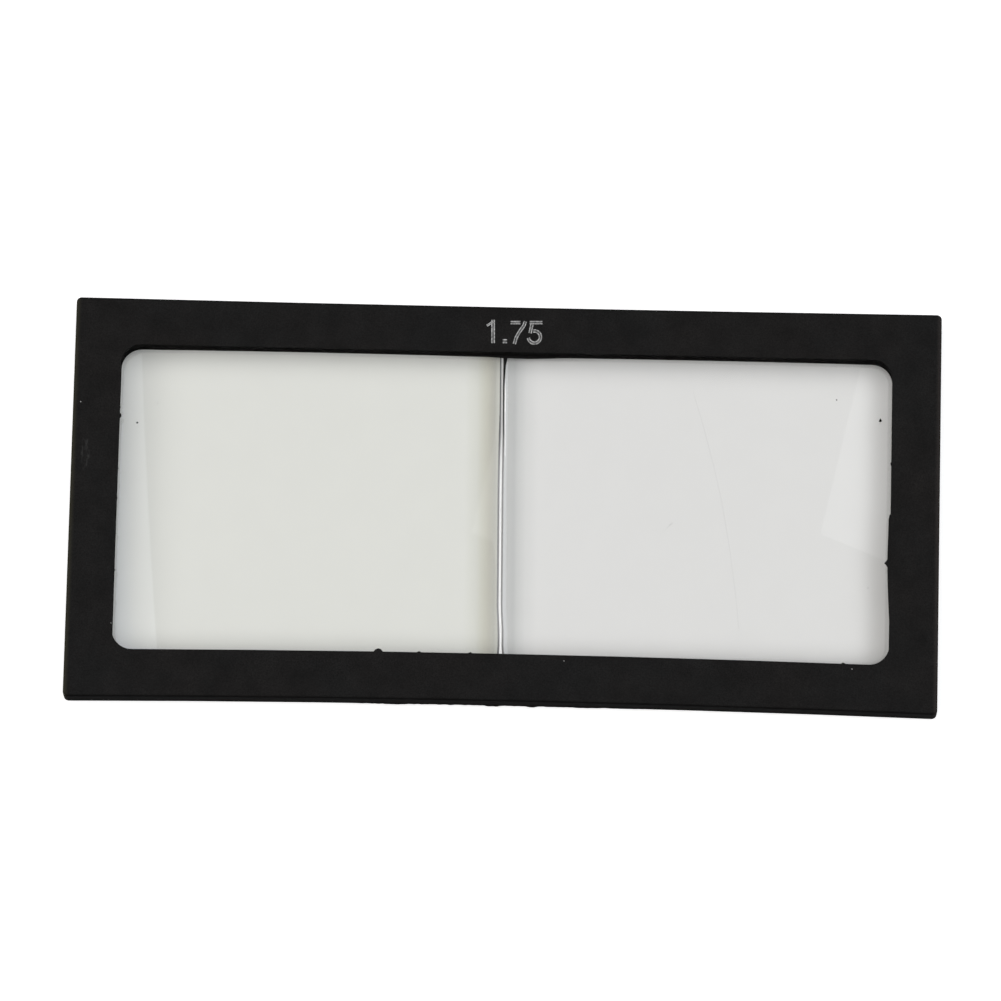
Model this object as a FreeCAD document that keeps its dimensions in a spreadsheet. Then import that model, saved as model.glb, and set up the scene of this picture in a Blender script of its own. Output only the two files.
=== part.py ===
"""A magnifier plate for a welding helmet: two plano-convex glass lenses, edge to edge, in a moulded frame.

Sizes are in millimetres. The plate lies flat on its back. The origin is at the bottom centre of its box.
+X runs along its length, +Y points to the rail that carries the power number, +Z comes out of its front.
"""

import FreeCAD, Part
import os
import Sketcher
from FreeCAD import Placement, Rotation, Vector

# Driving dimensions: alias, value, meaning. Angles are in degrees.
SIZES = [
    ("overall_length", 108.0, "length of the plate"),
    ("overall_height", 51.0, "height of the plate at its ends"),
    ("frame_thickness", 3.2, "thickness of the plate"),
    ("corner_radius", 0.6, "radius of the plate's four corners"),
    ("edge_rounding", 0.4, "rounding of the outer edges, front and back"),
    ("left_rail", 5.8, "width of the left rail"),
    ("right_rail", 6.05, "width of the right rail"),
    ("top_rail", 6.0, "width of the top rail, at its ends"),
    ("bottom_rail", 5.95, "width of the bottom rail, at its middle"),
    ("window_radius", 2.5, "radius of the window's corners"),
    ("top_bow", 0.15, "how far the middle of the top side has sunk in"),
    ("bottom_bow", 0.55, "how far the middle of the bottom rail has sunk in"),
    ("back_lip", 0.4, "thickness of the lip behind the glass"),
    ("seat_clearance", 0.05, "room that the shrunk plastic leaves round the glass"),
    ("lens_length", 49.5, "length of each glass blank"),
    ("lens_height", 41.8, "height of each glass blank"),
    ("lens_corner_radius", 2.0, "radius of each blank's two outer corners"),
    ("seam_end_thickness", 0.65, "thickness of each lens where it is thinnest, at the ends of its seam edge"),
    ("lens_power", 1.75, "power of each lens, in dioptres"),
    ("glass_index", 1.523, "refractive index of crown glass"),
    ("seam_gap", 0.1, "gap between the two lenses"),
    ("seam_offset", -0.45, "place of the seam along X, at mid height"),
    ("seam_bevel", 0.25, "bevel ground along the seam edges, front and back"),
    ("pair_skew", 0.85, "turn of the pair of lenses in the frame"),
]

# Expressions that several features share.
PLATE_LEFT = "-sizes.overall_length / 2"
PLATE_RIGHT = "sizes.overall_length / 2"
PLATE_TOP = "sizes.overall_height / 2"
PLATE_BOTTOM = "-sizes.overall_height / 2"
CROWN_RADIUS = "(1000 * (sizes.glass_index - 1) / sizes.lens_power)"
CROWN_AT_SEAM_END = f"sqrt({CROWN_RADIUS}^2 - (sizes.lens_length / 2)^2 - (sizes.lens_height / 2)^2)"
LENS_THICKNESS = f"(sizes.seam_end_thickness + {CROWN_RADIUS} - {CROWN_AT_SEAM_END})"

# How a constraint names the ends of a side, and the outline's own origin.
START, END = range(1, 3)
ORIGIN_POINT = (-1, START)

doc = FreeCAD.newDocument("magnifier_plate")


def make_sheet():
    """The table of driving dimensions, each under its alias."""
    sheet = doc.addObject("Spreadsheet::Sheet", "sizes")
    for row, (alias, value, meaning) in enumerate(SIZES, start=1):
        sheet.set(f"A{row}", meaning)
        sheet.set(f"B{row}", str(value))
        sheet.setAlias(f"B{row}", alias)
    doc.recompute()
    return sheet


def number(expression):
    """The present value of an expression on the table, as a plain number."""
    value = sizes.evalExpression(expression)
    return float(getattr(value, "Value", value))


def bow_radius(chord, bow):
    """Expression for the radius of an arc on that chord whose middle stands off it by the bow."""
    return f"((({chord}) / 2)^2 + ({bow})^2) / (2 * ({bow}))"


def add_body(name):
    """A body for one solid, with its label."""
    body = doc.addObject("PartDesign::Body", name)
    body.Label = name
    body.AllowCompound = False
    return body


def add_sketch(body, name, role):
    """A sketch on one of the body's own origin planes."""
    sketch = body.newObject("Sketcher::SketchObject", name)
    plane = next(f for f in body.Origin.OriginFeatures if f.Role == role)
    sketch.AttachmentSupport = [(plane, "")]
    sketch.MapMode = "FlatFace"
    return sketch


def bind(sketch, constraint, expression):
    """Ties a dimension of the outline to an expression on the table."""
    sketch.setExpression(f"Constraints[{sketch.addConstraint(constraint)}]", expression)


def place_point(sketch, geometry, end, corner):
    """Dimensions one end of a side from the sketch's origin, along both axes."""
    for kind, expression in zip(("DistanceX", "DistanceY"), corner):
        value = number(expression)
        if value < 0:
            constraint = Sketcher.Constraint(kind, geometry, end, *ORIGIN_POINT, -value)
            bind(sketch, constraint, f"-({expression})")
        else:
            constraint = Sketcher.Constraint(kind, *ORIGIN_POINT, geometry, end, value)
            bind(sketch, constraint, expression)


def add_side(sketch, start, end, curve):
    """A straight side, or an arc of the given radius that bulges towards the given direction."""
    a, b = (Vector(number(x), number(y), 0) for x, y in (start, end))
    if curve is None:
        return sketch.addGeometry(Part.LineSegment(a, b), False)
    radius, bulge = number(curve[0]), Vector(*curve[1])
    half = (b - a).Length / 2
    middle = (a + b) / 2 + bulge * (radius - (radius**2 - half**2) ** 0.5)
    return sketch.addGeometry(Part.Arc(a, middle, b), False)


def nearest_end(sketch, side, corner):
    """Which end of a side lies at a corner: an arc may run the other way round."""
    place = Vector(number(corner[0]), number(corner[1]), 0)
    return min((START, END), key=lambda end: (sketch.getPoint(side, end) - place).Length)


def add_outline(sketch, corners, curves):
    """A closed outline through the corners. A curve is None, or a radius and the way its side bulges."""
    following = corners[1:] + corners[:1]
    sides = [add_side(sketch, a, b, curve) for a, b, curve in zip(corners, following, curves)]
    for corner, side, before in zip(corners, sides, sides[-1:] + sides[:-1]):
        here = nearest_end(sketch, side, corner)
        there = nearest_end(sketch, before, corner)
        sketch.addConstraint(Sketcher.Constraint("Coincident", side, here, before, there))
        place_point(sketch, side, here, corner)
    for side, curve in zip(sides, curves):
        if curve is not None:
            bind(sketch, Sketcher.Constraint("Radius", side, number(curve[0])), curve[0])


def edge_names(feature, wanted):
    """Names of the feature's edges whose two ends and middle pass the test."""
    names = []
    for index, edge in enumerate(feature.Shape.Edges, start=1):
        middle = edge.valueAt((edge.FirstParameter + edge.LastParameter) / 2)
        points = [vertex.Point for vertex in edge.Vertexes] + [middle]
        if wanted(points):
            names.append(f"Edge{index}")
    return names


def add_dressing(body, kind, name, base, names, dimension, expression):
    """A fillet or chamfer on named edges of the base feature, with its dimension tied to the table."""
    if not names:
        raise RuntimeError(f"{name} found no edges on {base.Name}")
    feature = body.newObject(kind, name)
    feature.Base = (base, names)
    feature.setExpression(dimension, expression)
    doc.recompute()
    if "Invalid" in feature.State:
        raise RuntimeError(f"{name} has failed: {feature.getStatusString()}")
    return feature


def upright(points):
    """An edge that runs straight up: its ends share X and Y."""
    return len(points) == 3 and (points[0] - points[1]).cross(Vector(0, 0, 1)).Length < 1e-6


def make_frame_blank():
    """The moulded plate with its window and soft outer edges, before the glass takes its room."""
    body = add_body("frame")
    outline = add_sketch(body, "plate_outline", "XY_Plane")
    top = (bow_radius("sizes.overall_length", "sizes.top_bow"), (0, -1, 0))
    bottom = (bow_radius("sizes.overall_length", "sizes.bottom_bow"), (0, 1, 0))
    corners = [
        (PLATE_LEFT, PLATE_BOTTOM),
        (PLATE_RIGHT, PLATE_BOTTOM),
        (PLATE_RIGHT, PLATE_TOP),
        (PLATE_LEFT, PLATE_TOP),
    ]
    add_outline(outline, corners, [bottom, None, top, None])
    plate = body.newObject("PartDesign::Pad", "plate")
    plate.Profile = outline
    plate.setExpression("Length", "sizes.frame_thickness")
    doc.recompute()

    upright_edges = edge_names(plate, upright)
    rounded = add_dressing(
        body, "PartDesign::Fillet", "plate_corners", plate, upright_edges, "Radius", "sizes.corner_radius"
    )
    levels = (0, number("sizes.frame_thickness"))

    def along_rim(points):
        return any(all(abs(p.z - level) < 1e-6 for p in points) for level in levels)

    rims = edge_names(rounded, along_rim)
    softened = add_dressing(
        body, "PartDesign::Fillet", "outer_edges", rounded, rims, "Radius", "sizes.edge_rounding"
    )
    cut_window(body, softened)
    return body


def cut_window(body, plate):
    """The window. Its lower edge runs parallel to the plate's bowed bottom side."""
    left = "-sizes.overall_length / 2 + sizes.left_rail"
    right = "sizes.overall_length / 2 - sizes.right_rail"
    top = "sizes.overall_height / 2 - sizes.top_rail"
    side_radius = bow_radius("sizes.overall_length", "sizes.bottom_bow")
    centre_y = f"{PLATE_BOTTOM} + sizes.bottom_bow - ({side_radius})"
    lower_radius = f"({side_radius}) + sizes.bottom_rail"

    def lower_edge(x):
        return f"{centre_y} + sqrt(({lower_radius})^2 - ({x})^2)"

    outline = add_sketch(body, "window_outline", "XY_Plane")
    corners = [(left, lower_edge(left)), (right, lower_edge(right)), (right, top), (left, top)]
    add_outline(outline, corners, [(lower_radius, (0, 1, 0)), None, None, None])
    window = body.newObject("PartDesign::Pocket", "window")
    window.Profile = outline
    window.Type = "ThroughAll"
    window.Reversed = True
    doc.recompute()
    if window.Shape.Volume > plate.Shape.Volume - 1:
        raise RuntimeError("the window has cut nothing")

    inner_limit = number("sizes.overall_length") / 2 - number("sizes.left_rail") / 2
    corners = edge_names(window, lambda points: upright(points) and abs(points[0].x) < inner_limit)
    add_dressing(
        body, "PartDesign::Fillet", "window_corners", window, corners, "Radius", "sizes.window_radius"
    )


def make_lens(name, side, growth="0", seam_growth="0"):
    """A plano-convex lens, its flat back on its own XY plane and its optical centre on its own Z axis.

    side is -1 for the left lens and 1 for the right one. Growth widens it all round, to shape its seat.
    """
    body = add_body(name)
    half_height = f"(sizes.lens_height / 2 + {growth})"
    outer = f"{side} * (sizes.lens_length / 2 + {growth})"
    seam = f"{-side} * (sizes.lens_length / 2 + {seam_growth})"
    low, high = sorted((outer, seam), key=number)
    outline = add_sketch(body, f"{name}_outline", "XY_Plane")
    bottom = f"-{half_height}"
    corners = [(low, bottom), (high, bottom), (high, half_height), (low, half_height)]
    add_outline(outline, corners, [None] * 4)
    blank = body.newObject("PartDesign::Pad", f"{name}_blank")
    blank.Profile = outline
    blank.setExpression("Length", f"{LENS_THICKNESS} + {growth}")
    doc.recompute()

    outer_x = number(outer)
    outer_edges = edge_names(blank, lambda points: upright(points) and abs(points[0].x - outer_x) < 1e-6)
    radius = f"sizes.lens_corner_radius + {growth}"
    cornered = add_dressing(
        body, "PartDesign::Fillet", f"{name}_corners", blank, outer_edges, "Radius", radius
    )
    return body, grind_crown(body, name, cornered, growth)


def grind_crown(body, name, blank, growth):
    """Cuts the front to a ball's skin, turned about a cross axis through the ball's centre."""
    radius = f"({CROWN_RADIUS} + {growth})"
    centre_z = f"({LENS_THICKNESS} - {CROWN_RADIUS})"
    reach = "sizes.lens_height"
    edge_z = f"{centre_z} + sqrt({radius}^2 - ({reach})^2)"
    top_z = f"{LENS_THICKNESS} + sizes.lens_length"
    profile = add_sketch(body, f"{name}_crown_profile", "YZ_Plane")
    corners = [(f"-{reach}", edge_z), (reach, edge_z), (reach, top_z), (f"-{reach}", top_z)]
    add_outline(profile, corners, [(radius, (0, 1, 0)), None, None, None])
    ends = [Vector(y, number(centre_z), 0) for y in (0, 1)]
    axis = profile.addGeometry(Part.LineSegment(*ends), True)
    profile.addConstraint(Sketcher.Constraint("Horizontal", axis))
    place_point(profile, axis, START, ("0", centre_z))
    bind(profile, Sketcher.Constraint("DistanceX", axis, START, axis, END, 1.0), "1")

    crown = body.newObject("PartDesign::Groove", f"{name}_crown")
    crown.Profile = profile
    crown.ReferenceAxis = (profile, ["Axis0"])
    crown.Midplane = True
    crown.setExpression("Angle", f"2 * asin(sizes.lens_length / {radius})")
    doc.recompute()
    if crown.Shape.Volume > blank.Shape.Volume - 1:
        raise RuntimeError(f"the crown of {name} has cut nothing")
    return crown


def bevel_seam(body, name, side, crown):
    """The bevels ground along the edge that meets the other lens."""
    seam_x = -side * number("sizes.lens_length") / 2

    def along_seam(points):
        return all(abs(p.x - seam_x) < 1e-6 for p in points) and not upright(points)

    names = edge_names(crown, along_seam)
    return add_dressing(
        body, "PartDesign::Chamfer", f"{name}_bevels", crown, names, "Size", "sizes.seam_bevel"
    )


def seat_in_frame(body, side):
    """Moves a lens, or the form of its seat, to its place: beside the seam, skewed, on the back lip."""
    reach = f"{side} * (sizes.seam_gap + sizes.lens_length) / 2"
    body.Placement = Placement(Vector(), Rotation(Vector(0, 0, 1), number("sizes.pair_skew")))
    body.setExpression("Placement.Rotation.Angle", "sizes.pair_skew * 1 deg")
    body.setExpression("Placement.Base.x", f"sizes.seam_offset + {reach} * cos(sizes.pair_skew * 1 deg)")
    body.setExpression("Placement.Base.y", f"{reach} * sin(sizes.pair_skew * 1 deg)")
    body.setExpression("Placement.Base.z", "sizes.back_lip")


def make_frame():
    """The frame: the moulded blank less the room that the glass pair takes in it."""
    frame = make_frame_blank()
    seats = []
    for name, side in LENSES.items():
        growth = "sizes.seat_clearance"
        seat, _ = make_lens(f"{name}_seat", side, growth, f"(sizes.seam_gap / 2 + {growth})")
        seat_in_frame(seat, side)
        seats.append(seat)
    doc.recompute()
    solid_volume = frame.Shape.Volume
    room = frame.newObject("PartDesign::Boolean", "glass_room")
    room.Type = "Cut"
    room.setObjects(seats)
    doc.recompute()
    if frame.Shape.Volume > solid_volume - 1:
        raise RuntimeError("the glass has taken no room in the frame")
    return frame


def check(nodes):
    """Stops before anything is written if a feature failed or a solid is unsound."""
    for item in doc.Objects:
        if {"Invalid", "Error"} & set(item.State):
            raise RuntimeError(f"{item.Name} has failed: {item.State}")
    for node in nodes:
        shape = node.Shape
        if shape.isNull() or not shape.isValid() or len(shape.Solids) != 1:
            raise RuntimeError(f"{node.Label} is not one sound solid")
        print(f"{node.Label}: {shape.Volume:.2f} mm3, {len(shape.Faces)} faces, {shape.BoundBox}")


sizes = make_sheet()
LENSES = {"left_lens": -1, "right_lens": 1}
nodes = []
for lens_name, lens_side in LENSES.items():
    lens, lens_crown = make_lens(lens_name, lens_side)
    bevel_seam(lens, lens_name, lens_side, lens_crown)
    seat_in_frame(lens, lens_side)
    nodes.append(lens)
nodes.append(make_frame())
doc.recompute()
check(nodes)

os.makedirs("parts", exist_ok=True)
for node in nodes:
    node.Shape.exportStep(f"parts/{node.Label}.step")
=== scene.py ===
"""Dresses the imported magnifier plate: smooth glass, black plastic, the printed number, flash and dust."""

import math

import bmesh
import bpy
from mathutils import Matrix, Vector, noise


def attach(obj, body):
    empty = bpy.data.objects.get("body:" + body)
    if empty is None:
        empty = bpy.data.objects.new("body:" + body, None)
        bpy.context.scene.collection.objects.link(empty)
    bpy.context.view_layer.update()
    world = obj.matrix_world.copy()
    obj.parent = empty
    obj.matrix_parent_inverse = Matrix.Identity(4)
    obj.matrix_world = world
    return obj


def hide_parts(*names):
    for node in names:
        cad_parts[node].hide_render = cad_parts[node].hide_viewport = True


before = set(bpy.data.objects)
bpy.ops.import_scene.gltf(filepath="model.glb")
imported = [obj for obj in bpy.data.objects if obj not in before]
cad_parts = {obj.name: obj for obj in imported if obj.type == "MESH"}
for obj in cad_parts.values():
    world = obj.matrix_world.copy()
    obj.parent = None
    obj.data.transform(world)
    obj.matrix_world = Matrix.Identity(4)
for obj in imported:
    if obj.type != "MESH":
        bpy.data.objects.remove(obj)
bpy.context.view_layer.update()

# All sizes below are in millimetres and become metres where a mesh or a camera is made.
MM = 0.001

# The plate, as the solids have it: its box, and how far its bottom side has sunk in at the middle.
PLATE_LENGTH = 108.0
PLATE_HEIGHT = 51.0
PLATE_THICKNESS = 3.2
BOTTOM_BOW = 0.55
BOTTOM_RADIUS = ((PLATE_LENGTH / 2) ** 2 + BOTTOM_BOW**2) / (2 * BOTTOM_BOW)

# The lenses, as the solids have them.
GLASS_INDEX = 1.523
LENS_POWER = 1.75
CROWN_RADIUS = 1000 * (GLASS_INDEX - 1) / LENS_POWER
LENS_LENGTH = 49.5
LENS_HEIGHT = 41.8
LENS_CORNER_RADIUS = 2.0
SEAM_END_THICKNESS = 0.65
BACK_LIP = 0.4
SEAM_GAP = 0.1
SEAM_OFFSET = -0.45
PAIR_SKEW = math.radians(0.85)
PAIR_TURN = Matrix.Rotation(PAIR_SKEW, 4, "Z")
LENS_THICKNESS = SEAM_END_THICKNESS + CROWN_RADIUS - math.sqrt(
    CROWN_RADIUS**2 - (LENS_LENGTH / 2) ** 2 - (LENS_HEIGHT / 2) ** 2
)

# The seam's ground edges, front to back: a grey arris, a flat bevel that catches the light, the wall and
# the back bevel. Upwards the arris narrows and the bevel widens a little, and at the very bottom the bevel
# widens more. A span is the stretch of Y over which a size changes.
BEVEL_WIDTH = 0.115
UPPER_BEVEL_WIDTH = 0.13
ARRIS_WIDTH = 0.24
UPPER_ARRIS_WIDTH = 0.15
UPPER_SPAN = (8, 13)
BEVEL_FLARE = 0.08
FLARE_SPAN = (-17.6, -18.8)
ARRIS_DROP = 0.04
BEVEL_DROP = 0.1
BACK_BEVEL = 0.3

# The gap between the lenses as the photograph shows it, and how far the seam wavers from a straight line.
SEAM_GAP_AT_TOP = 0.03
SEAM_GAP_AT_BOTTOM = 0.02
GAP_SPAN = (-2, 12)
SEAM_SHIFT = -0.055
UPPER_SEAM_SHIFT = 0.085
UPPER_SHIFT_SPAN = (3, 11)
LOWER_SEAM_SHIFT = 0.15
LOWER_SHIFT_SPAN = (-12, -16.5)

# How finely the smooth lenses are made, and from what angle an edge is sharp.
SECTION_STEPS = 99
SECTION_ROWS = 84
SHARP_ANGLE = math.radians(25)

# Painted shade on each lens beside the seam, standing in for the seam's shadow on the floor under it,
# yellowish on the left and bluish on the right: the distance, then the red, green and blue that are left.
LEFT_SEAM_SHADE = (
    (0.0, 0.8, 0.8, 0.78),
    (0.5, 0.79, 0.79, 0.76),
    (0.8, 0.72, 0.715, 0.685),
    (1.3, 0.73, 0.715, 0.67),
    (1.9, 0.787, 0.775, 0.72),
    (2.5, 0.85, 0.845, 0.8),
    (3.1, 0.919, 0.918, 0.9),
    (3.7, 0.96, 0.96, 0.945),
    (4.6, 1.0, 1.0, 1.0),
)
RIGHT_SEAM_SHADE = (
    (0.0, 0.8, 0.805, 0.805),
    (0.5, 0.79, 0.795, 0.795),
    (0.7, 0.77, 0.775, 0.775),
    (1.0, 0.785, 0.795, 0.795),
    (1.6, 0.765, 0.775, 0.78),
    (2.1, 0.84, 0.85, 0.85),
    (3.1, 0.94, 0.945, 0.945),
    (4.6, 1.0, 1.0, 1.0),
)
SEAM_SHADE_REACH = 5.0

# The camera: what it looks at, its distance, its turn from straight above and its focal length in pixels.
IMAGE_SIZE = 1001
SENSOR_WIDTH = 36.0
CAMERA_TARGET = Vector((-0.535, 1.223, 0.0))
CAMERA_DISTANCE = 1050.0
CAMERA_TILT = math.radians(13.44)
CAMERA_YAW = math.radians(0.67)
CAMERA_ROLL = math.radians(1.374)
FOCAL_PIXELS = 8434.7

# The nearest and farthest that the camera sees, in metres.
CAMERA_CLIP = (0.01, 20.0)

# How a pixel's point on the crown is found: the first level that is tried, and how often it is improved.
FIRST_LEVEL = 2.0
LEVEL_STEPS = 3


def make_node(tree, kind, inputs=None, **settings):
    """A shader node, with values or other nodes' outputs on its inputs."""
    made = tree.nodes.new(kind)
    for name, value in settings.items():
        setattr(made, name, value)
    for name, value in (inputs or {}).items():
        if isinstance(value, bpy.types.NodeSocket):
            tree.links.new(value, made.inputs[name])
        else:
            made.inputs[name].default_value = value
    return made


def calculate(tree, operation, *values):
    """The output of one Math node."""
    return make_node(tree, "ShaderNodeMath", dict(enumerate(values)), operation=operation).outputs[0]


def empty_material(name):
    """A node material with an output and nothing else."""
    material = bpy.data.materials.new(name)
    material.use_nodes = True
    tree = material.node_tree
    tree.nodes.clear()
    output = make_node(tree, "ShaderNodeOutputMaterial")
    return material, tree, output.inputs["Surface"]


def grey(value):
    """An opaque grey of that linear value."""
    return (value, value, value, 1.0)


# The part of the noise pattern's range that it hardly ever leaves.
NOISE_RANGE = (0.3, 0.7)


def drifting(tree, place, scale, low, high, detail=4.0):
    """A value that drifts between two limits over a surface."""
    pattern = make_node(tree, "ShaderNodeTexNoise", {"Vector": place, "Scale": scale, "Detail": detail})
    values = (pattern.outputs["Fac"], *NOISE_RANGE, low, high)
    return make_node(tree, "ShaderNodeMapRange", dict(enumerate(values))).outputs[0]


def ramp(tree, value, low, high):
    """0 to 1 while a value goes from low to high, which may be the smaller one."""
    found = make_node(
        tree,
        "ShaderNodeMapRange",
        {0: value, 1: min(low, high), 2: max(low, high), 3: float(low > high), 4: float(high > low)},
        interpolation_type="SMOOTHSTEP",
    )
    return found.outputs[0]


def vector_math(tree, operation, inputs):
    """The output of one Vector Math node."""
    return make_node(tree, "ShaderNodeVectorMath", inputs, operation=operation).outputs[0]


def scaled(tree, vector, strength):
    """A vector or a colour times a strength."""
    return vector_math(tree, "SCALE", {0: vector, "Scale": strength})


def multiplied(tree, first, second):
    """Two vectors or colours, each channel times its like."""
    return vector_math(tree, "MULTIPLY", {0: first, 1: second})


def added(tree, *colours):
    """The sum of several colours."""
    total = colours[0]
    for colour in colours[1:]:
        total = vector_math(tree, "ADD", {0: total, 1: colour})
    return total


def object_place(tree):
    """The surface point in the plate's own frame, in millimetres."""
    return scaled(tree, make_node(tree, "ShaderNodeTexCoord").outputs["Object"], 1 / MM)


# The black plastic: its linear grey, a fine speckle on it, the hues it drifts between, and its grain. A
# scale is how many times a pattern changes over a millimetre.
PLASTIC_GREY = (0.0062, 0.0097)
MOTTLE_SCALE = 0.3
SPECKLE = (0.5, 1.5)
SPECKLE_SCALE = 6.0
WARM_HUE = (1.06, 0.97, 0.95, 1.0)
COOL_HUE = (0.97, 0.96, 0.97, 1.0)
HUE_SCALE = 0.12
GRAIN_SCALE = 9.0
GRAIN_DEPTH = 0.02

# How far up a face points before it counts as the front. The sides keep only a share of the grey, a painted
# shade, and are rougher.
FRONT_SLOPE = (0.55, 0.97)
SIDE_SHADE_SHARE = 0.35
SIDE_ROUGHNESS = (0.85, 1.0)
FRONT_ROUGHNESS_CHANGE = -0.35

# A painted highlight at the plate's two ends, where their rounded edges catch the side lights: what it adds
# to the plastic's colour, and how far in.
LEFT_END_HIGHLIGHT = (0.017, 0.016, 0.009)
RIGHT_END_HIGHLIGHT = (0.018, 0.015, 0.014)
END_HIGHLIGHT_WIDTH = 0.75

# A scuffed patch of the left rail: its middle, its reach, where it fades, what it adds, and its marks.
SCUFF_CENTRE = (-52.2, 5.6)
SCUFF_REACH = (0.7, 3.0)
SCUFF_FADE = (1.0, 0.2)
SCUFF_TONE = 0.02
SCUFF_STRETCH = (1.0, 0.35, 1.0)
SCUFF_SCALE = 3.5
SCUFF_MARKS = (-0.6, 1.0)


def scuff(tree, place):
    """Fine pale scratches in a long patch."""
    parts = make_node(tree, "ShaderNodeSeparateXYZ", {0: place})
    squares = []
    for axis, centre, reach in zip("XY", SCUFF_CENTRE, SCUFF_REACH):
        off = calculate(tree, "DIVIDE", calculate(tree, "SUBTRACT", parts.outputs[axis], centre), reach)
        squares.append(calculate(tree, "POWER", calculate(tree, "ABSOLUTE", off), 2.0))
    inside = ramp(tree, calculate(tree, "ADD", *squares), *SCUFF_FADE)
    pattern = drifting(tree, multiplied(tree, place, SCUFF_STRETCH), SCUFF_SCALE, *SCUFF_MARKS, 3.0)
    marks = calculate(tree, "MAXIMUM", pattern, 0.0)
    return scaled(tree, (SCUFF_TONE, SCUFF_TONE, SCUFF_TONE), calculate(tree, "MULTIPLY", inside, marks))


def black_plastic():
    """Matt black plastic from a blasted mould: faint mottling, fine grain, rougher sides with a painted
    shade, and a painted highlight at the two ends.
    """
    material, tree, surface = empty_material("black_plastic")
    place = object_place(tree)
    mottle = drifting(tree, place, MOTTLE_SCALE, *PLASTIC_GREY)
    speckle = drifting(tree, place, SPECKLE_SCALE, *SPECKLE, 3.0)
    grain = make_node(tree, "ShaderNodeTexNoise", {"Vector": place, "Scale": GRAIN_SCALE, "Detail": 3.0})
    bump = make_node(
        tree,
        "ShaderNodeBump",
        {"Height": grain.outputs["Fac"], "Strength": 0.35, "Distance": GRAIN_DEPTH * MM},
    )
    normal = make_node(tree, "ShaderNodeNewGeometry").outputs["Normal"]
    upward = make_node(tree, "ShaderNodeSeparateXYZ", {0: normal}).outputs["Z"]
    front = ramp(tree, upward, *FRONT_SLOPE)
    # Painted shade: faces that point sideways get a darker grey.
    share = calculate(tree, "MULTIPLY_ADD", front, 1 - SIDE_SHADE_SHARE, SIDE_SHADE_SHARE)
    tone = calculate(tree, "MULTIPLY", calculate(tree, "MULTIPLY", mottle, speckle), share)
    side_roughness = drifting(tree, place, GRAIN_SCALE, *SIDE_ROUGHNESS, 3.0)
    hue = make_node(
        tree,
        "ShaderNodeMix",
        {0: drifting(tree, place, HUE_SCALE, 0.0, 1.0, 2.0), 6: WARM_HUE, 7: COOL_HUE},
        data_type="RGBA",
    )
    across = make_node(tree, "ShaderNodeSeparateXYZ", {0: place}).outputs["X"]
    half = PLATE_LENGTH / 2
    # Painted highlight at the plate's two ends.
    left = scaled(tree, LEFT_END_HIGHLIGHT, ramp(tree, across, END_HIGHLIGHT_WIDTH - half, -half))
    right = scaled(tree, RIGHT_END_HIGHLIGHT, ramp(tree, across, half - END_HIGHLIGHT_WIDTH, half))
    plastic = make_node(
        tree,
        "ShaderNodeBsdfPrincipled",
        {
            "Base Color": added(tree, scaled(tree, hue.outputs[2], tone), left, right, scuff(tree, place)),
            "Roughness": calculate(tree, "MULTIPLY_ADD", front, FRONT_ROUGHNESS_CHANGE, side_roughness),
            "Normal": bump.outputs[0],
            "IOR": 1.5,
            "Specular IOR Level": 0.07,
        },
    )
    tree.links.new(plastic.outputs[0], surface)
    return material


def seam_distance(tree):
    """How far a surface point lies from the seam's middle, in millimetres."""
    parts = make_node(tree, "ShaderNodeSeparateXYZ", {0: object_place(tree)})
    across = calculate(tree, "SUBTRACT", parts.outputs["X"], SEAM_OFFSET)
    across = calculate(tree, "MULTIPLY", across, math.cos(PAIR_SKEW))
    along = calculate(tree, "MULTIPLY", parts.outputs["Y"], math.sin(PAIR_SKEW))
    return calculate(tree, "ABSOLUTE", calculate(tree, "ADD", across, along))


# The window's middle and half its width, along both axes, and where the painted shade along the window's
# edge on the glass ends.
WINDOW_ACROSS = (-0.125, 48.075)
WINDOW_ALONG = (0.15, 19.35)
WINDOW_RADIUS = 2.5
RIM_SHADE_EDGE = (0.4, 0.6)

# The share of light that a lens's two polished faces let through, and how clear smears leave it.
FACES_PASS = 0.916
SMEARED = (0.988, 1.0)
SMEAR_SCALE = 0.25


def painted_seam_shade(tree, shade_stops):
    """The painted shade that a lens keeps beside the seam, by the distance from it."""
    share = calculate(tree, "DIVIDE", seam_distance(tree), SEAM_SHADE_REACH)
    band = make_node(tree, "ShaderNodeValToRGB", {0: share})
    elements = band.color_ramp.elements
    elements.remove(elements[-1])
    for place, *colour in shade_stops:
        element = elements[0] if place == 0 else elements.new(place / SEAM_SHADE_REACH)
        element.position = place / SEAM_SHADE_REACH
        element.color = (*colour, 1.0)
    return band.outputs["Color"]


def window_inset(tree):
    """How far a surface point lies inside the window's rounded outline, in millimetres."""
    parts = make_node(tree, "ShaderNodeSeparateXYZ", {0: object_place(tree)})
    past = []
    for axis, centre, half in (("X", *WINDOW_ACROSS), ("Y", *WINDOW_ALONG)):
        off = calculate(tree, "ABSOLUTE", calculate(tree, "SUBTRACT", parts.outputs[axis], centre))
        past.append(calculate(tree, "SUBTRACT", off, half - WINDOW_RADIUS))
    squares = [calculate(tree, "POWER", calculate(tree, "MAXIMUM", value, 0.0), 2.0) for value in past]
    outside = calculate(tree, "SQRT", calculate(tree, "ADD", *squares))
    inside = calculate(tree, "MINIMUM", calculate(tree, "MAXIMUM", *past), 0.0)
    return calculate(tree, "SUBTRACT", WINDOW_RADIUS, calculate(tree, "ADD", outside, inside))


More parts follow.
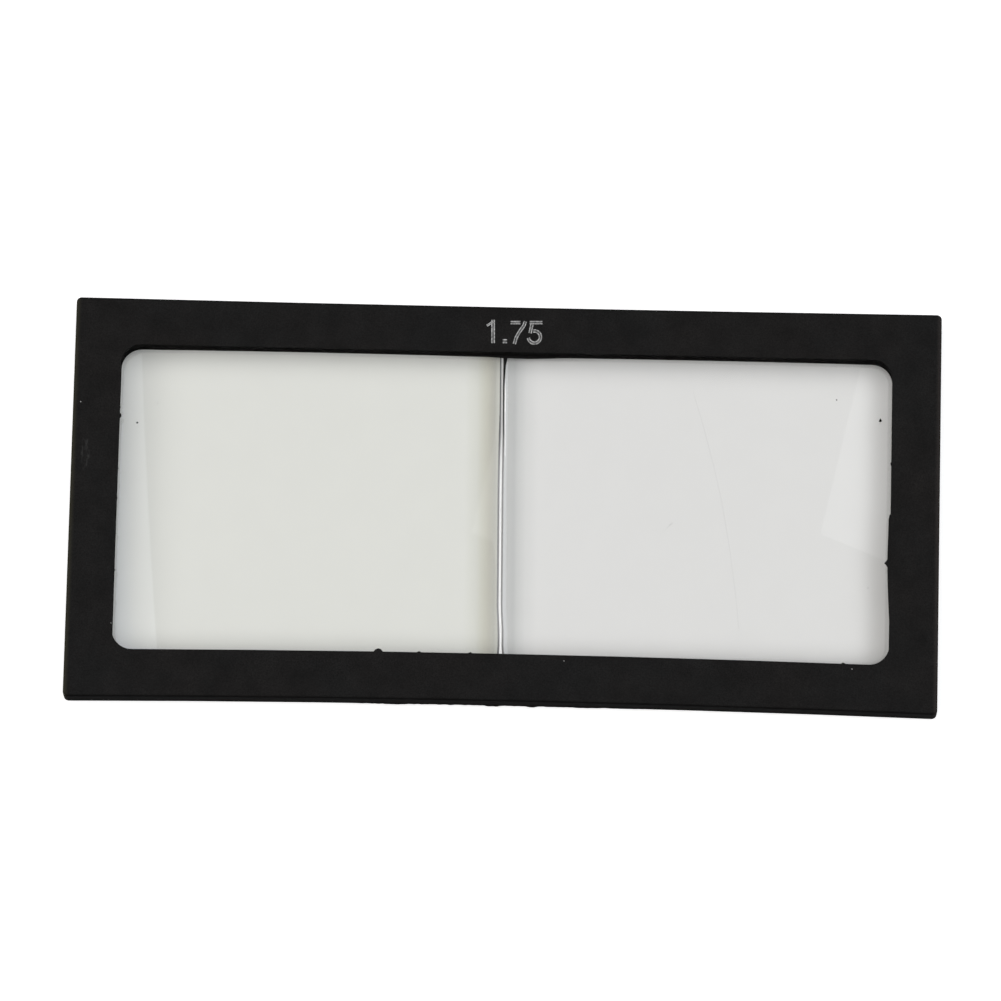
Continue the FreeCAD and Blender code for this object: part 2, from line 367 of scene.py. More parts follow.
def lens_glass(name, tint, shade_stops, film):
    """Clear polished glass, with a painted shade beside the seam and a painted shade along the window's
    edge.

    Light for the floor goes straight through it, less what its two faces reflect.
    """
    material, tree, surface = empty_material(name)
    smears = drifting(tree, object_place(tree), SMEAR_SCALE, *SMEARED)
    # Painted shade along the window's edge: the film colour darkens the glass within about half a
    # millimetre of the rails.
    past_rim_shade = ramp(tree, window_inset(tree), *RIM_SHADE_EDGE)
    edge = make_node(tree, "ShaderNodeMix", {0: past_rim_shade, 6: (*film, 1.0), 7: grey(1.0)}, data_type="RGBA")
    # Painted shade: the seam's and the window edge's shade darken the glass's colour.
    colour = multiplied(tree, multiplied(tree, edge.outputs[2], painted_seam_shade(tree, shade_stops)), tint)
    glass = make_node(
        tree,
        "ShaderNodeBsdfPrincipled",
        {
            "Base Color": scaled(tree, colour, smears),
            "Roughness": 0.0,
            "IOR": GLASS_INDEX,
            "Transmission Weight": 1.0,
        },
    )
    passed = [math.sqrt(FACES_PASS) * channel for channel in tint]
    let_light_through(tree, surface, glass, (*passed, 1.0))
    return material


def let_light_through(tree, surface, shader, colour):
    """The shader for the eye and for mirrors, and a clear pane of that colour for the floor's light."""
    path = make_node(tree, "ShaderNodeLightPath")
    light = calculate(tree, "MAXIMUM", path.outputs["Is Shadow Ray"], path.outputs["Is Diffuse Ray"])
    clear = make_node(tree, "ShaderNodeBsdfTransparent", {"Color": colour})
    both = make_node(tree, "ShaderNodeMixShader", {0: light, 1: shader.outputs[0], 2: clear.outputs[0]})
    tree.links.new(both.outputs[0], surface)


def rough_finish(name, tones, roughness, scale, changes=(), passes=0.0):
    """A matt surface whose grey drifts between two tones.

    Each change gives the share of the grey that is left past a stretch of Y, and the stretch. Passes is the
    share of light that goes through to the floor.
    """
    material, tree, surface = empty_material(name)
    place = object_place(tree)
    tone = drifting(tree, place, scale, *tones)
    height = make_node(tree, "ShaderNodeSeparateXYZ", {0: place}).outputs["Y"]
    for share, start, end in changes:
        passed = ramp(tree, height, start, end)
        lost = calculate(tree, "MULTIPLY", passed, 1 - share)
        tone = calculate(tree, "MULTIPLY", tone, calculate(tree, "SUBTRACT", 1.0, lost))
    colour = make_node(tree, "ShaderNodeCombineColor", {0: tone, 1: tone, 2: tone}).outputs[0]
    finish = make_node(
        tree,
        "ShaderNodeBsdfPrincipled",
        {"Base Color": colour, "Roughness": roughness, "IOR": 1.5, "Specular IOR Level": 0.3},
    )
    if passes:
        let_light_through(tree, surface, finish, grey(passes))
    else:
        tree.links.new(finish.outputs[0], surface)
    return material


def add_piece(name, mesh, materials):
    """A finished piece that rides on the plate's one body."""
    piece = bpy.data.objects.new(name, mesh)
    bpy.context.scene.collection.objects.link(piece)
    for material in materials:
        mesh.materials.append(material)
    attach(piece, "root")
    return piece


def smoothstep(start, end, value):
    """0 up to start, 1 past end, and an even ramp between. End may be the smaller one."""
    t = min(max((value - start) / (end - start), 0.0), 1.0)
    return t * t * (3 - 2 * t)


def crown_height(x, y):
    """Height of the ground ball's skin over the lens's flat back."""
    return LENS_THICKNESS - CROWN_RADIUS + math.sqrt(CROWN_RADIUS**2 - x * x - y * y)


def outer_reach(y):
    """How far a lens reaches from its seam edge at that height: less in its two rounded corners."""
    past = abs(y) - (LENS_HEIGHT / 2 - LENS_CORNER_RADIUS)
    if past <= 0:
        return LENS_LENGTH
    return LENS_LENGTH - LENS_CORNER_RADIUS + math.sqrt(max(LENS_CORNER_RADIUS**2 - past**2, 0.0))


# A lens's materials, and which of them a section's last faces have, counted from its end.
GLASS, BEVEL, WALL, ARRIS = range(4)
GROUND_FACES = {1: ARRIS, 2: BEVEL, 3: WALL, 4: WALL}


def seam_growth(side, y):
    """How far a lens's seam edge stands past the solid's: the gap closes downwards, and the seam wavers."""
    gap = SEAM_GAP_AT_BOTTOM + (SEAM_GAP_AT_TOP - SEAM_GAP_AT_BOTTOM) * smoothstep(*GAP_SPAN, y)
    upper = UPPER_SEAM_SHIFT * smoothstep(*UPPER_SHIFT_SPAN, y)
    lower = LOWER_SEAM_SHIFT * smoothstep(*LOWER_SHIFT_SPAN, y)
    return (SEAM_GAP - gap) / 2 - side * (SEAM_SHIFT + upper + lower)


def lens_section(side, y):
    """The closed outline of a lens cut across at height y, as points of its own frame."""
    seam = -seam_growth(side, y)
    reach = outer_reach(y)

    def point(across, height=None):
        x = side * (across - LENS_LENGTH / 2)
        return Vector((x, y, crown_height(x, y) if height is None else height))

    upper = smoothstep(*UPPER_SPAN, y)
    bevel = BEVEL_WIDTH + (UPPER_BEVEL_WIDTH - BEVEL_WIDTH) * upper
    bevel += BEVEL_FLARE * smoothstep(*FLARE_SPAN, y)
    arris = ARRIS_WIDTH + (UPPER_ARRIS_WIDTH - ARRIS_WIDTH) * upper
    first, back_first = seam + bevel + arris, seam + BACK_BEVEL
    shares = [i / SECTION_STEPS for i in range(SECTION_STEPS + 1)]
    front = [point(first + (reach - first) * share) for share in shares]
    back = [point(reach + (back_first - reach) * share, 0.0) for share in shares]
    top = point(first).z
    wall = [point(seam, BACK_BEVEL), point(seam, top - BEVEL_DROP)]
    return front + back + wall + [point(seam + bevel, top - ARRIS_DROP)]


def lens_centre(side):
    """Where a lens's optical axis meets its flat back."""
    reach = side * (SEAM_GAP + LENS_LENGTH) / 2
    return Vector((SEAM_OFFSET, 0, BACK_LIP)) + PAIR_TURN @ Vector((reach, 0, 0))


def make_lens(node, side, materials):
    """A smooth lens in place of the faceted one: the same blank and crown, with the seam's ground edges."""
    half = LENS_HEIGHT / 2
    centre = lens_centre(side)
    build = bmesh.new()
    sections = []
    for row in range(SECTION_ROWS + 1):
        y = half * math.sin(math.pi * (row / SECTION_ROWS - 0.5))
        sections.append([build.verts.new(MM * (centre + PAIR_TURN @ p)) for p in lens_section(side, y)])
    count = len(sections[0])
    for low, high in zip(sections, sections[1:]):
        for i in range(count):
            j = (i + 1) % count
            face = build.faces.new((low[i], low[j], high[j], high[i]))
            face.smooth = True
            face.material_index = GROUND_FACES.get(count - i, GLASS)
    for section in (sections[0], sections[-1]):
        build.faces.new(section).material_index = WALL
    bmesh.ops.recalc_face_normals(build, faces=build.faces)
    mesh = bpy.data.meshes.new(f"{node}_glass")
    build.to_mesh(mesh)
    build.free()
    mesh.set_sharp_from_angle(angle=SHARP_ANGLE)
    piece = add_piece(f"{node}_glass", mesh, materials)
    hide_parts(node)


def camera_axes():
    """The camera's directions to its right, upwards and backwards, and its place in millimetres."""
    tilt, yaw, roll = CAMERA_TILT, CAMERA_YAW, CAMERA_ROLL
    back = Vector((math.sin(yaw), -math.sin(tilt) * math.cos(yaw), math.cos(tilt) * math.cos(yaw)))
    back.normalize()
    level_right = Vector((0, 1, 0)).cross(back).normalized()
    level_up = back.cross(level_right)
    right = math.cos(roll) * level_right + math.sin(roll) * level_up
    return right, back.cross(right), back, CAMERA_TARGET + back * CAMERA_DISTANCE


def add_camera():
    """The camera of the photograph, from its distance, tilt, yaw and roll."""
    right, up, back, place = camera_axes()
    data = bpy.data.cameras.new("camera")
    data.sensor_width = SENSOR_WIDTH
    data.lens = FOCAL_PIXELS / IMAGE_SIZE * SENSOR_WIDTH
    data.clip_start, data.clip_end = CAMERA_CLIP
    camera = bpy.data.objects.new("camera", data)
    camera.matrix_world = Matrix.Translation(MM * place) @ Matrix((right, up, back)).transposed().to_4x4()
    bpy.context.scene.collection.objects.link(camera)
    bpy.context.scene.camera = camera


def on_level(pixel, level):
    """The point at that height over the back plane which the photograph shows at a pixel."""
    right, up, back, place = camera_axes()
    across, down = pixel[0] - IMAGE_SIZE / 2, pixel[1] - IMAGE_SIZE / 2
    ray = right * across - up * down - back * FOCAL_PIXELS
    return place + ray * ((level - place.z) / ray.z)


def glass_level(spot):
    """Height of the crown under or over a point, in the plate's own frame."""
    side = -1 if seam_side(spot) < 0 else 1
    local = PAIR_TURN.inverted() @ (spot - lens_centre(side))
    return BACK_LIP + crown_height(local.x, local.y)


def seam_side(spot):
    """Negative left of the seam, positive right of it."""
    return (spot.x - SEAM_OFFSET) * math.cos(PAIR_SKEW) + spot.y * math.sin(PAIR_SKEW)


def on_glass(pixel):
    """The point of the crown that the photograph shows at a pixel."""
    spot = on_level(pixel, FIRST_LEVEL)
    for _ in range(LEVEL_STEPS):
        spot = on_level(pixel, glass_level(spot))
    return spot


def finish_piece(name, build, materials):
    """Turns faces built in millimetres into a piece."""
    build.normal_update()
    bmesh.ops.triangulate(build, faces=build.faces)
    bmesh.ops.recalc_face_normals(build, faces=build.faces)
    bmesh.ops.scale(build, vec=(MM, MM, MM), verts=build.verts)
    mesh = bpy.data.meshes.new(name)
    build.to_mesh(mesh)
    build.free()
    add_piece(name, mesh, materials)


def add_sheet(build, outline, thickness):
    """A thin flat form: an outline of points and the same outline that much higher."""
    lower = [build.verts.new(p) for p in outline]
    upper = [build.verts.new(p + Vector((0, 0, thickness))) for p in outline]
    build.faces.new(lower[::-1])
    build.faces.new(upper)
    for i in range(len(outline)):
        j = (i + 1) % len(outline)
        build.faces.new((lower[i], lower[j], upper[j], upper[i]))


# The printed number, as the photograph's pixels: centre lines and widths of its strokes.
ONE_STEM = ((493.1, 319.8), (493.1, 343.0))
ONE_FLAG = ((493.4, 321.6), (486.9, 325.6))
POINT = ((502.8, 341.2), (507.0, 341.2))
SEVEN_BAR = ((510.6, 322.6), (520.4, 322.6))
SEVEN_LEG = ((525.4, 321.4), (524.0, 325.5), (519.3, 332.0), (516.0, 338.0), (514.4, 343.9))
FIVE_BAR = ((529.7, 322.6), (542.4, 322.6))
FIVE_STEM = ((531.9, 324.4), (530.1, 333.2))
FIVE_BOWL_CENTRE = (534.4, 337.0)
FIVE_BOWL_RADIUS = 6.1
FIVE_BOWL_TURN = (102, -172)
FIVE_BOWL_STEPS = 14
STROKE = 3.3
STEM_STROKE = 3.5
FLAG_STROKE = 2.2
POINT_STROKE = 4.0
PRINT_BORDER = 0.9
INK_THICKNESS = 0.012


def bowl_line():
    """The centre line of the five's bowl: an arc from above its middle round to its lower left."""
    start, end = FIVE_BOWL_TURN
    shares = [i / FIVE_BOWL_STEPS for i in range(FIVE_BOWL_STEPS + 1)]
    angles = [math.radians(start + (end - start) * share) for share in shares]
    x, y = FIVE_BOWL_CENTRE
    return [(x + FIVE_BOWL_RADIUS * math.cos(a), y - FIVE_BOWL_RADIUS * math.sin(a)) for a in angles]


def stroke_normals(line):
    """The sideways direction at each point of a line."""
    points = [Vector(p) for p in line]
    runs = [(b - a).normalized() for a, b in zip(points, points[1:])]
    runs = [runs[0]] + [(a + b).normalized() for a, b in zip(runs, runs[1:])] + [runs[-1]]
    return points, [Vector((-run.y, run.x)) for run in runs]


def add_stroke(build, line, width):
    """A printed stroke: a bright border along both sides and a thinner film between."""
    points, normals = stroke_normals(line)
    half = width / 2
    rows = []
    for offset in (-half, PRINT_BORDER - half, half - PRINT_BORDER, half):
        pixels = [p + n * offset for p, n in zip(points, normals)]
        rows.append([build.verts.new(on_level(p, PLATE_THICKNESS + INK_THICKNESS)) for p in pixels])
    for index, (low, high) in enumerate(zip(rows, rows[1:])):
        for i in range(len(points) - 1):
            build.faces.new((low[i], low[i + 1], high[i + 1], high[i])).material_index = index % 2


def add_number(border, film):
    """The plate's power in silver ink on the top rail."""
    build = bmesh.new()
    add_stroke(build, ONE_STEM, STEM_STROKE)
    add_stroke(build, ONE_FLAG, FLAG_STROKE)
    add_stroke(build, POINT, POINT_STROKE)
    for line in (SEVEN_BAR, SEVEN_LEG, FIVE_BAR, FIVE_STEM, bowl_line()):
        add_stroke(build, line, STROKE)
    finish_piece("power_number", build, [border, film])


# Flash and other moulding marks, as the photograph's pixels. Each outline ends inside the rail behind it.
TOP_FLASH = (
    (440, 354.4), (470, 356.0), (500, 357.9), (515, 358.6), (530, 359.0), (545, 358.8),
    (560, 358.4), (575, 358.1), (592, 357.6), (592, 350), (440, 348),
)
STEP_FLASH = (
    (893, 512.5), (891.2, 513.6), (889.4, 515.6), (888.6, 519.5), (888.3, 530), (887.9, 541),
    (887.5, 552),
)
SPIKE = ((887.3, 559.4), (886.5, 560.8), (884.3, 563.3), (886.3, 565.6), (887.3, 567.4))
STEP_FLASH_END = ((887.5, 580), (888.0, 596), (888.8, 615), (889.8, 634), (893, 642))
BOTTOM_BUMP = (
    (373, 655), (373.5, 651.6), (375.2, 649.6), (378, 648.4), (380.6, 649), (383, 651.8),
    (383.5, 655),
)
BOTTOM_NICK = ((415.5, 656), (416.5, 652.4), (419, 651.2), (421.6, 652.5), (422, 656))
MIDDLE_NICK = ((466.5, 657), (468, 653.2), (470.5, 652.2), (473, 653.6), (474, 657))
BURR = ((839.5, 669), (840.2, 664.6), (842.6, 662.6), (844.6, 663.2), (846.4, 665), (847, 669))
LEFT_BUMP = (
    (115, 410), (118.9, 411.8), (121.1, 413.8), (121.5, 416), (120.1, 418.2), (117, 420),
    (115, 421),
)
RIGHT_BUMP = ((895, 461), (891.2, 461.6), (890.3, 463.8), (891.0, 466), (895, 467))
NIB = (
    (503.2, 350), (503.4, 358), (503.8, 364), (503.4, 370), (503.2, 384), (503.15, 400),
    (503.2, 412), (503.35, 434), (503.75, 414), (503.85, 402), (504.1, 392), (504.8, 382),
    (505.3, 373), (506.0, 365), (507.6, 358), (508, 350),
)
# The glint, a painted highlight on the right lens's bevel beside the nib.
GLINT = (
    (504.9, 378), (505.0, 392), (504.7, 412), (504.6, 430), (504.6, 456),
    (505.4, 456), (505.5, 430), (505.7, 412), (505.9, 392), (505.5, 378),
)
CRUMB = ((878.6, 421.6), (880.3, 418.4), (882.0, 421.2), (880.6, 422.2))
FLASH_THICKNESS = 0.08
FLASH_LEVEL = 3.08
GLINT_THICKNESS = 0.01


def add_glint(ground):
    """A painted highlight: the thin bright line beside the nib, where the right lens's bevel catches the
    light.
    """
    build = bmesh.new()
    add_sheet(build, [on_glass(p) for p in GLINT], GLINT_THICKNESS)
    finish_piece("seam_glint", build, [ground])


def add_flash(plastic):
    """Flash on the glass, along the window's edges, and in the gap between the lenses."""
    build = bmesh.new()
    for outline in (TOP_FLASH, NIB, CRUMB):
        add_sheet(build, [on_glass(p) for p in outline], FLASH_THICKNESS)
    step = STEP_FLASH + SPIKE + STEP_FLASH_END
    for outline in (step, BOTTOM_BUMP, BOTTOM_NICK, MIDDLE_NICK, BURR, LEFT_BUMP, RIGHT_BUMP):
        add_sheet(build, [on_level(p, FLASH_LEVEL) for p in outline], FLASH_THICKNESS)
    finish_piece("window_flash", build, [plastic])


# The left rail's rough inner edge: its place, its ends, how far it sticks out, and how coarse and fine it
# is. A row is the stretch of the noise pattern that is followed.
ROUGH_EDGE = -48.2
ROUGH_ENDS = (-15.8, 16.2)
ROUGH_REACH = 0.17
ROUGH_ROOT = 0.3
ROUGH_START = -0.02
ROUGH_STEPS = 200
ROUGH_THRESHOLD = 0.4
COARSE_SCALE = 1.3
COARSE_ROW = 3.7
FINE_SCALE = 2.4
FINE_ROW = 8.1
FINE_SHARE = 3


def add_rough_edge(plastic):
    """Fine roughness along the left rail's inner edge."""
    low, high = ROUGH_ENDS
    outline = [Vector((ROUGH_EDGE - ROUGH_ROOT, y, FLASH_LEVEL)) for y in (high, low)]
    for i in range(ROUGH_STEPS + 1):
        y = low + (high - low) * i / ROUGH_STEPS
        fade = smoothstep(low, low + 2, y) * smoothstep(high, high - 3, y)
        coarse = noise.noise(Vector((COARSE_SCALE * y, COARSE_ROW, 0)))
        fine = noise.noise(Vector((FINE_SCALE * y, FINE_ROW, 0)))
        out = ROUGH_REACH * fade * max(coarse + FINE_SHARE * fine - ROUGH_THRESHOLD, 0)
        outline.append(Vector((ROUGH_EDGE + ROUGH_START + out, y, FLASH_LEVEL)))
    build = bmesh.new()
    add_sheet(build, outline, FLASH_THICKNESS)
    finish_piece("rough_edge", build, [plastic])


# The parting line on the sunk bottom side: a ridge, how far it stands out and how ragged it is.
PARTING_REACH = (-19.0, 18.0)
PARTING_LEVEL = 0.45
PARTING_STEPS = 180
RIDGE_HEIGHT = 0.02
RIDGE_RAGGEDNESS = 0.05
RAGGED_SCALE = 1.7
RAGGED_ROW = (0.4, 5.0)
RAGGED_START = 0.4
RIDGE_HALF_WIDTH = 0.12
RIDGE_ROOT = 0.05
CREST_SHARE = 0.3

# Its lumps: the middle along X, half the length, and how far each sticks out. Then the share that is flat.
LUMPS = ((-0.9, 1.1, 0.1), (3.9, 0.8, 0.09), (-13.0, 1.6, 0.05), (10.5, 1.8, 0.05))
LUMP_FLAT = 0.4


def bottom_side(x):
    """Where the plate's bottom side lies."""
    return BOTTOM_BOW - PLATE_HEIGHT / 2 - BOTTOM_RADIUS + math.sqrt(BOTTOM_RADIUS**2 - x * x)


def add_parting_line(plastic):
    """A ragged ridge with a few lumps where the two halves of the mould met."""
    build = bmesh.new()
    start, end = PARTING_REACH
    rows = []
    for i in range(PARTING_STEPS + 1):
        x = start + (end - start) * i / PARTING_STEPS
        fade = smoothstep(start, start + 3, x) * smoothstep(end, end - 3, x)
        ragged = max(noise.noise(Vector((RAGGED_SCALE * x, *RAGGED_ROW))) + RAGGED_START, 0)
        out = RIDGE_HEIGHT + RIDGE_RAGGEDNESS * fade * ragged
        for centre, half, reach in LUMPS:
            out += reach * smoothstep(half, LUMP_FLAT * half, abs(x - centre))
        root, crest = bottom_side(x) + RIDGE_ROOT, bottom_side(x) - out
        wide = RIDGE_HALF_WIDTH + out
        narrow = CREST_SHARE * wide
        section = [(root, -wide), (crest, -narrow), (crest, narrow), (root, wide)]
        rows.append([build.verts.new((x, y, PARTING_LEVEL + z)) for y, z in section])
    for low, high in zip(rows, rows[1:]):
        for i in range(4):
            j = (i + 1) % 4
            build.faces.new((low[i], low[j], high[j], high[i]))
    build.faces.new(rows[0])
    build.faces.new(rows[-1][::-1])
    finish_piece("parting_line", build, [plastic])


# Specks of dust and black crumbs, as pixels and sizes in millimetres, and a grain's shape.
DUST_ON_PLASTIC = ((80.6, 401.5, 0.07), (111, 623, 0.06), (852, 669, 0.07), (564, 661, 0.06))
DUST_ON_GLASS = ((158, 403.3, 0.08), (868, 588, 0.08), (670, 525, 0.07), (551, 688, 0.05))
CRUMBS = ((137.3, 422.7, 0.13), (836.7, 400, 0.1), (670.5, 524, 0.04))
GRAIN_STRETCH = Vector((1, 0.8, 0.5))
GRAIN_LIFT = 0.2
GRAIN_BULGE = 0.6
BULGE_SCALE = 15


def add_grains(name, spots, material):
    """Loose grains, each a little out of round."""
    build = bmesh.new()
    for spot, size in spots:
        centre = spot + Vector((0, 0, GRAIN_LIFT * size))
        grain = bmesh.ops.create_icosphere(build, subdivisions=2, radius=size)["verts"]
        for vertex in grain:
            bulge = 1 + GRAIN_BULGE * noise.noise(vertex.co * BULGE_SCALE + spot)
            vertex.co = centre + Vector(vertex.co * bulge) * GRAIN_STRETCH
    finish_piece(name, build, [material])


def add_specks(dust, plastic):
    """Dust on the rails and on the glass, and black crumbs on the glass."""
    spots = [(on_level(speck[:2], PLATE_THICKNESS), speck[2]) for speck in DUST_ON_PLASTIC]
    spots += [(on_glass(speck[:2]), speck[2]) for speck in DUST_ON_GLASS]
    add_grains("dust", spots, dust)
    add_grains("crumbs", [(on_glass(speck[:2]), speck[2]) for speck in CRUMBS], plastic)


# Fine scratches on the right lens, as pixels, their width, and how far over the crown they lie.
LONG_SCRATCH = ((693, 391), (703, 425), (714, 467), (722, 503), (729, 545), (735, 590), (739, 630))
SHORT_SCRATCH = ((664, 531), (669, 526), (676, 521))
SCRATCH_WIDTH = 0.012
SCRATCH_LIFT = Vector((0, 0, 0.004))


def add_scratches(material):
    """Hair-thin marks that lie on the crown."""
    build = bmesh.new()
    for line in (LONG_SCRATCH, SHORT_SCRATCH):
        points, normals = stroke_normals(line)
        pairs = []
        for point, normal in zip(points, normals):
            spot = on_glass(point) + SCRATCH_LIFT
            aside = Vector((normal.x, -normal.y, 0)) * SCRATCH_WIDTH / 2
            pairs.append([build.verts.new(spot + side * aside) for side in (-1, 1)])
        for low, high in zip(pairs, pairs[1:]):
            build.faces.new((low[0], low[1], high[1], high[0]))
    finish_piece("scratches", build, [material])


# The floor: its grey, what lifts it to white where it is seen directly, and half its size and its level in
# metres.
FLOOR_ALBEDO = 0.81
FLOOR_GLOW = 0.55
FLOOR_HALF = 3.0
FLOOR_LEVEL = -0.00002


def add_floor():
    """A white paper floor. Seen directly it is lifted to plain white and keeps a faint shadow."""
    material, tree, surface = empty_material("paper")
    paper = make_node(tree, "ShaderNodeBsdfDiffuse", {"Color": grey(FLOOR_ALBEDO)})
    path = make_node(tree, "ShaderNodeLightPath")
    strength = calculate(tree, "MULTIPLY", path.outputs["Is Camera Ray"], FLOOR_GLOW)
    glow = make_node(tree, "ShaderNodeEmission", {"Color": grey(1.0), "Strength": strength})
    both = make_node(tree, "ShaderNodeAddShader", {0: paper.outputs[0], 1: glow.outputs[0]})
    tree.links.new(both.outputs[0], surface)
    mesh = bpy.data.meshes.new("floor")
    turns = ((-1, -1), (1, -1), (1, 1), (-1, 1))
    mesh.from_pydata([(FLOOR_HALF * x, FLOOR_HALF * y, FLOOR_LEVEL) for x, y in turns], [], [(0, 1, 2, 3)])
    mesh.materials.append(material)
    floor = bpy.data.objects.new("floor", mesh)
    bpy.context.scene.collection.objects.link(floor)


# The sky, by the slopes x/z and y/z of its directions: a wide soft light round a dark middle, where the
# camera looks out, a low lamp on each side, and in the middle two panels with sharp edges that the crowns
# mirror.
LIGHT_STRENGTH = 0.915
LIGHT_CENTRE = (0.0, 0.07)
LIGHT_REACH = (1.05, 0.85)
LIGHT_EDGE = (0.4, 0.55)
SIDE_GAIN = 1.0
SIDE_GAIN_REACH = (0.3, 1.0)
LAMP_STRENGTH = 5.9
LAMP_CENTRE = (-2.05, 0.07)
LAMP_REACH = (0.6, 0.5)
LAMP_EDGE = (0.2, 0.2)
SECOND_LAMP_STRENGTH = 1.5
SECOND_LAMP_CENTRE = (1.1, 0.07)
SECOND_LAMP_REACH = (0.4, 0.5)
SECOND_LAMP_EDGE = (0.25, 0.2)
MIDDLE_CENTRE = (0.0, 0.2)
MIDDLE_REACH = (0.3, 0.3)
MIDDLE_EDGE = (0.05, 0.05)
LEFT_LIGHT = (1.03, 1.0, 0.96)
RIGHT_LIGHT = (0.98, 1.0, 1.02)
ROOM_LIGHT = 0.06
LOWEST_RISE = 0.001
PANEL_EDGE = 0.0025
LEFT_PANEL_START = 0.158
LEFT_PANEL_SLANT = 0.105
LEFT_PANEL = (1.5, 1.55, 1.65)
LEFT_PANEL_END = (0.5, 0.6, 0.8)
LEFT_PANEL_RISE = (0.172, 0.194)
RIGHT_PANEL_START = 0.077
RIGHT_PANEL_SLANT = 0.2275
RIGHT_PANEL_LOW = 0.258
RIGHT_PANEL_LOW_SLANT = 0.35
RIGHT_PANEL = (0.78, 0.8, 0.81)


def window_mask(tree, values, centres, reaches, edges):
    """A soft-edged rectangle of the sky."""
    sides = []
    for value, centre, reach, edge in zip(values, centres, reaches, edges):
        off = calculate(tree, "ABSOLUTE", calculate(tree, "SUBTRACT", value, centre))
        sides.append(ramp(tree, off, reach + edge, reach))
    return calculate(tree, "MULTIPLY", *sides)


def sky_light(tree):
    """The colour of the studio in each direction."""
    direction = make_node(tree, "ShaderNodeTexCoord").outputs["Generated"]
    parts = make_node(tree, "ShaderNodeSeparateXYZ", {0: direction})
    height = calculate(tree, "MAXIMUM", parts.outputs["Z"], LOWEST_RISE)
    across = calculate(tree, "DIVIDE", parts.outputs["X"], height)
    along = calculate(tree, "DIVIDE", parts.outputs["Y"], height)
    whole = window_mask(tree, (across, along), LIGHT_CENTRE, LIGHT_REACH, LIGHT_EDGE)
    middle = window_mask(tree, (across, along), MIDDLE_CENTRE, MIDDLE_REACH, MIDDLE_EDGE)
    main = calculate(tree, "MULTIPLY", whole, calculate(tree, "SUBTRACT", 1.0, middle))
    sideways = ramp(tree, calculate(tree, "ABSOLUTE", across), *SIDE_GAIN_REACH)
    gain = calculate(tree, "ADD", 1.0, calculate(tree, "MULTIPLY", sideways, SIDE_GAIN))
    main = calculate(tree, "MULTIPLY", main, calculate(tree, "MULTIPLY", gain, LIGHT_STRENGTH))
    right_share = ramp(tree, across, -MIDDLE_REACH[0], MIDDLE_REACH[0])
    left_share = calculate(tree, "SUBTRACT", 1.0, right_share)
    lamp = window_mask(tree, (across, along), LAMP_CENTRE, LAMP_REACH, LAMP_EDGE)
    left_main = calculate(tree, "MULTIPLY", main, left_share)
    left_sum = calculate(tree, "MULTIPLY_ADD", lamp, LAMP_STRENGTH, left_main)
    left = scaled(tree, LEFT_LIGHT, left_sum)
    second = window_mask(tree, (across, along), SECOND_LAMP_CENTRE, SECOND_LAMP_REACH, SECOND_LAMP_EDGE)
    right_main = calculate(tree, "MULTIPLY", main, right_share)
    right_sum = calculate(tree, "MULTIPLY_ADD", second, SECOND_LAMP_STRENGTH, right_main)
    right = scaled(tree, RIGHT_LIGHT, right_sum)

    past_left = calculate(tree, "ADD", across, calculate(tree, "MULTIPLY", along, LEFT_PANEL_SLANT))
    left_edge = ramp(tree, past_left, -LEFT_PANEL_START, -LEFT_PANEL_START - PANEL_EDGE)
    rising = ramp(tree, past_left, -LEFT_PANEL_RISE[0], -LEFT_PANEL_RISE[1])
    left_mask = calculate(tree, "MULTIPLY", left_edge, middle)
    left_panel = added(
        tree,
        scaled(tree, LEFT_PANEL, left_mask),
        scaled(tree, LEFT_PANEL_END, calculate(tree, "MULTIPLY", left_mask, rising)),
    )
    past_right = calculate(tree, "SUBTRACT", across, calculate(tree, "MULTIPLY", along, RIGHT_PANEL_SLANT))
    right_edge = ramp(tree, past_right, RIGHT_PANEL_START, RIGHT_PANEL_START + PANEL_EDGE)
    above = calculate(tree, "ADD", along, calculate(tree, "MULTIPLY", across, RIGHT_PANEL_LOW_SLANT))
    right_low = ramp(tree, above, RIGHT_PANEL_LOW, RIGHT_PANEL_LOW + PANEL_EDGE)
    right_mask = calculate(tree, "MULTIPLY", calculate(tree, "MULTIPLY", right_edge, right_low), middle)
    right_panel = scaled(tree, RIGHT_PANEL, right_mask)
    return added(tree, (ROOM_LIGHT, ROOM_LIGHT, ROOM_LIGHT), left, right, left_panel, right_panel)


def add_sky():
    """The world: the studio's light for the object, and plain white for the camera."""
    world = bpy.data.worlds.new("studio")
    bpy.context.scene.world = world
    world.use_nodes = True
    tree = world.node_tree
    tree.nodes.clear()
    light = make_node(tree, "ShaderNodeBackground", {"Color": sky_light(tree), "Strength": 1.0})
    white = make_node(tree, "ShaderNodeBackground", {"Color": grey(1.0), "Strength": 1.0})
    path = make_node(tree, "ShaderNodeLightPath")
    seen = calculate(tree, "MAXIMUM", path.outputs["Is Camera Ray"], path.outputs["Is Transmission Ray"])
    both = make_node(tree, "ShaderNodeMixShader", {0: seen, 1: light.outputs[0], 2: white.outputs[0]})
    output = make_node(tree, "ShaderNodeOutputWorld")
    tree.links.new(both.outputs[0], output.inputs["Surface"])


# Each lens's tint, and what the painted shade along the window's edge leaves of the light, with a bluish
# cast on the left lens.
LEFT_TINT = (0.99, 0.993, 0.975)
RIGHT_TINT = (0.99, 0.99, 0.985)
LEFT_RIM_SHADE = (0.98, 0.98, 1.0)
RIGHT_RIM_SHADE = (0.9, 0.9, 0.9)

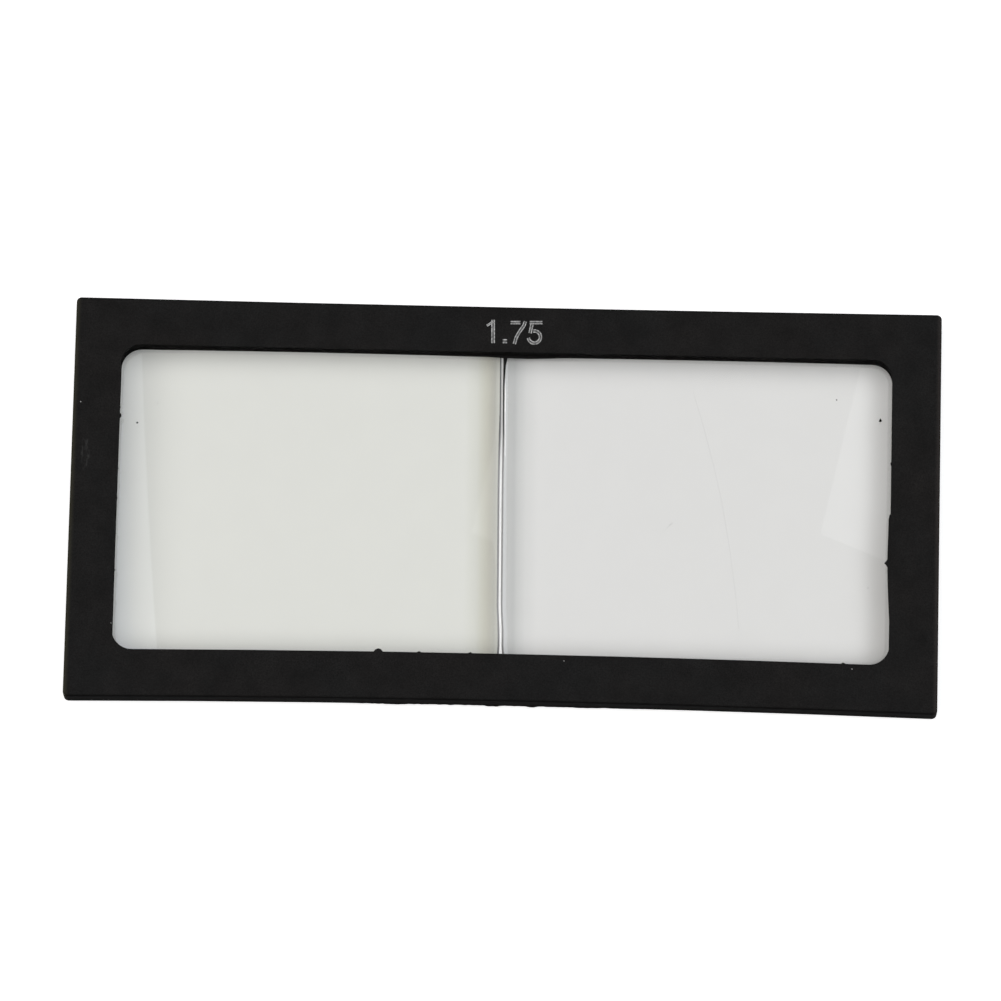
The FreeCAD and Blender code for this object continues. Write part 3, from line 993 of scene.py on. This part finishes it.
# The linear greys of the small surfaces, and how the seam's change with Y: the share left, and the stretch.
BEVEL_TONES = (0.93, 0.98)
BEVEL_CHANGES = ((0.46, 3.0, 11.5),)
WALL_TONES = (0.4, 0.46)
ARRIS_TONES = (0.24, 0.31)
ARRIS_CHANGES = ((0.6, -15.0, -18.5), (0.4, 5.0, 11.0))
GROUND_PASSES = 0.9
SILVER_INK_TONES = (0.1, 0.55)
THIN_INK_TONES = (0.02, 0.15)
# The glint's greys are a painted highlight.
GLINT_TONES = (0.8, 0.95)
DUST_TONES = (0.3, 0.6)
SCRATCH_TONES = (0.25, 0.45)

bpy.context.scene.view_settings.view_transform = "Standard"
add_camera()
add_sky()
add_floor()

plastic = black_plastic()
frame_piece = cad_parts["frame"]
frame_piece.data.materials.clear()
frame_piece.data.materials.append(plastic)

left_glass = lens_glass("left_glass", LEFT_TINT, LEFT_SEAM_SHADE, LEFT_RIM_SHADE)
right_glass = lens_glass("right_glass", RIGHT_TINT, RIGHT_SEAM_SHADE, RIGHT_RIM_SHADE)
bevel = rough_finish(
    "ground_bevel", BEVEL_TONES, roughness=0.5, scale=6.0, changes=BEVEL_CHANGES, passes=GROUND_PASSES
)
wall = rough_finish("ground_wall", WALL_TONES, roughness=0.6, scale=6.0, passes=GROUND_PASSES)
arris = rough_finish(
    "ground_arris", ARRIS_TONES, roughness=0.5, scale=6.0, changes=ARRIS_CHANGES, passes=GROUND_PASSES
)
make_lens("left_lens", -1, [left_glass, bevel, wall, arris])
make_lens("right_lens", 1, [right_glass, bevel, wall, arris])

silver_ink = rough_finish("silver_ink", SILVER_INK_TONES, roughness=0.45, scale=4.0)
thin_ink = rough_finish("thin_ink", THIN_INK_TONES, roughness=0.5, scale=3.0)
add_number(silver_ink, thin_ink)
add_flash(plastic)
add_glint(rough_finish("glint", GLINT_TONES, roughness=0.5, scale=6.0))
add_rough_edge(plastic)
add_parting_line(plastic)
add_specks(rough_finish("dust", DUST_TONES, roughness=0.9, scale=20.0), plastic)
add_scratches(rough_finish("scratch", SCRATCH_TONES, roughness=0.6, scale=3.0))
